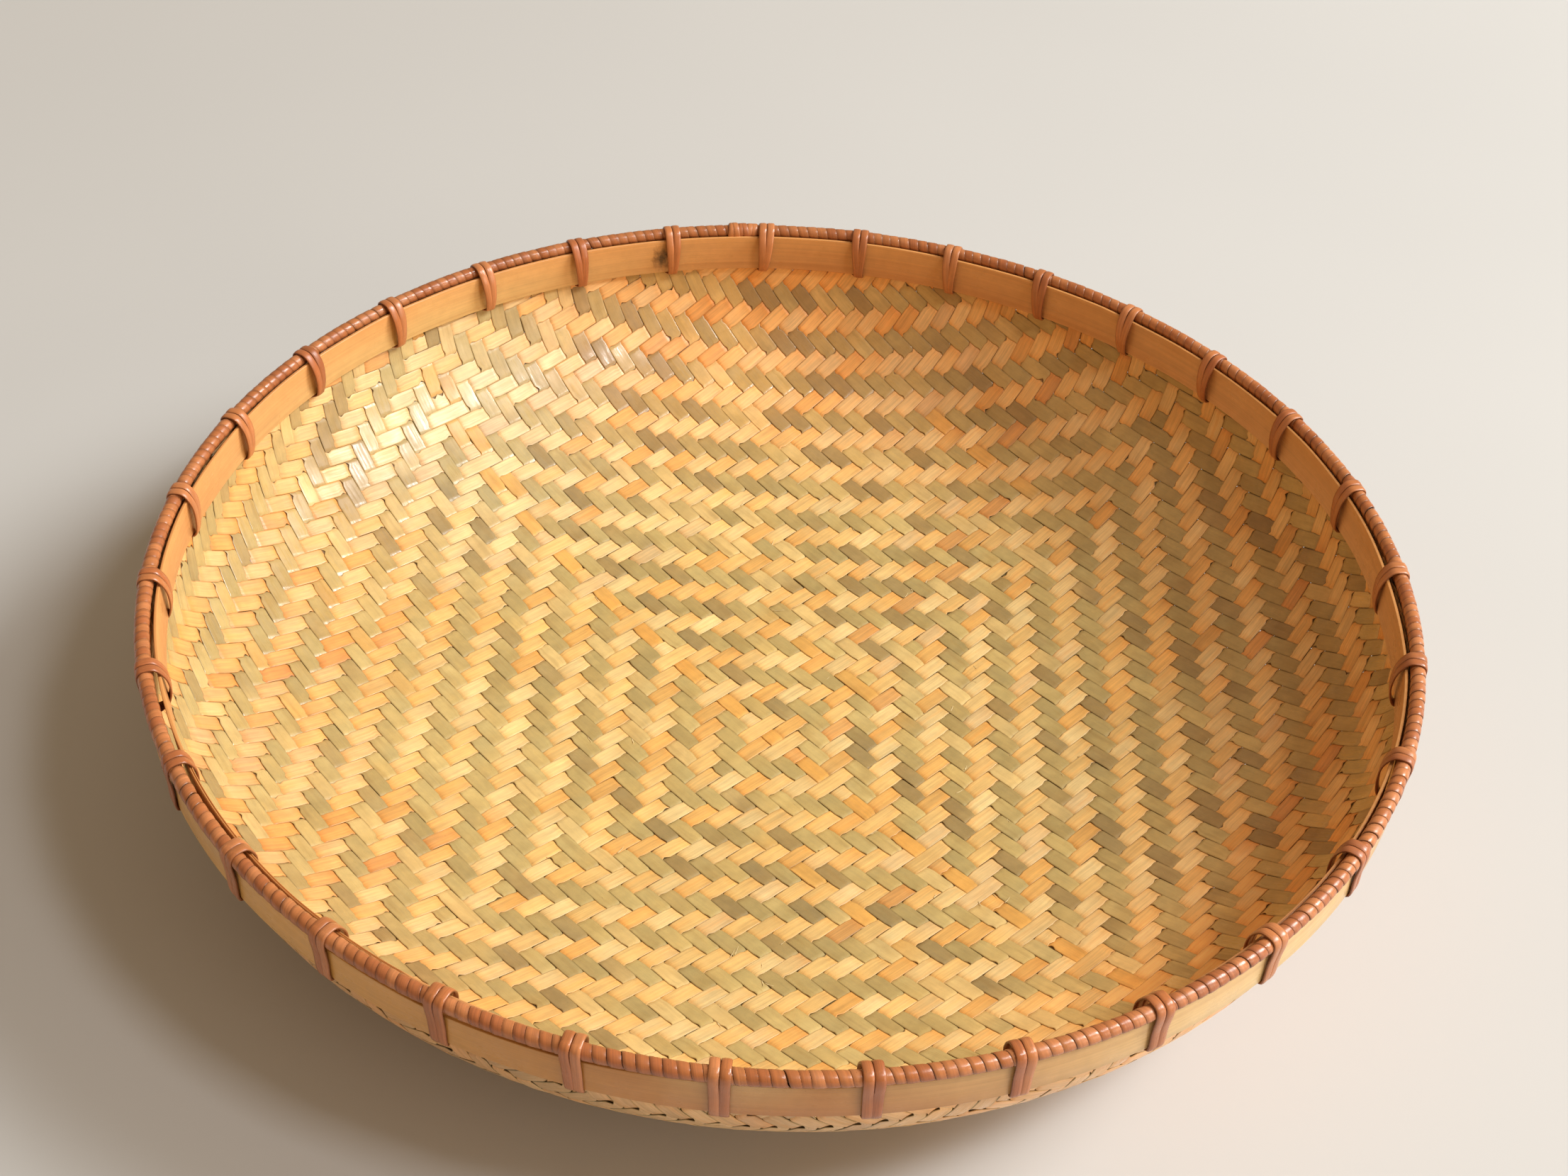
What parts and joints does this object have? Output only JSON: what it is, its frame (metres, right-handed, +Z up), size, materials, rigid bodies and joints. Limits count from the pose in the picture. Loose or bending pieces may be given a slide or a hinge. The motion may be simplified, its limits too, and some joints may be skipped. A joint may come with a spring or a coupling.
{
  "type": "winnowing basket",
  "caption": "Wide round winnowing tray: a shallow woven bamboo bowl with an upright rim of bamboo hoops, a rattan-wrapped edge bead and spaced rattan lashings.",
  "frame": {"origin": "middle of the flat underside, on the surface the basket stands on", "axes": "+Z up through the middle of the opening, along the axis the basket is round about; -Y towards the front of the basket as seen in the picture; +X to its right"},
  "size_m": [0.4574, 0.4578, 0.0896],
  "materials": {
    "woven_bamboo": "split bamboo strips, varnished, satin to semi-gloss",
    "inner_bamboo": "varnished bamboo hoop, semi-gloss",
    "outer_bamboo": "varnished bamboo hoop, semi-gloss",
    "core_cane": "bare cane",
    "rattan": "reddish-brown varnished rattan strand, glossy"
  },
  "bodies": {
    "root": {"woven_mat": "woven_bamboo", "inner_hoop": "inner_bamboo", "outer_hoop": "outer_bamboo", "rim_core": "core_cane", "rim_wrap": "rattan", "wrap_knot": "rattan", "tie_01": "rattan", "tie_02": "rattan", "tie_03": "rattan", "tie_04": "rattan", "tie_05": "rattan", "tie_06": "rattan", "tie_07": "rattan", "tie_08": "rattan", "tie_09": "rattan", "tie_10": "rattan", "tie_11": "rattan", "tie_12": "rattan", "tie_13": "rattan", "tie_14": "rattan", "tie_15": "rattan", "tie_16": "rattan", "tie_17": "rattan", "tie_18": "rattan", "tie_19": "rattan", "tie_20": "rattan", "tie_21": "rattan", "tie_22": "rattan", "tie_23": "rattan", "tie_24": "rattan", "tie_25": "rattan", "tie_26": "rattan", "tie_27": "rattan", "tie_28": "rattan", "tie_29": "rattan", "tie_30": "rattan", "tie_31": "rattan"}
  },
  "joints": []
}
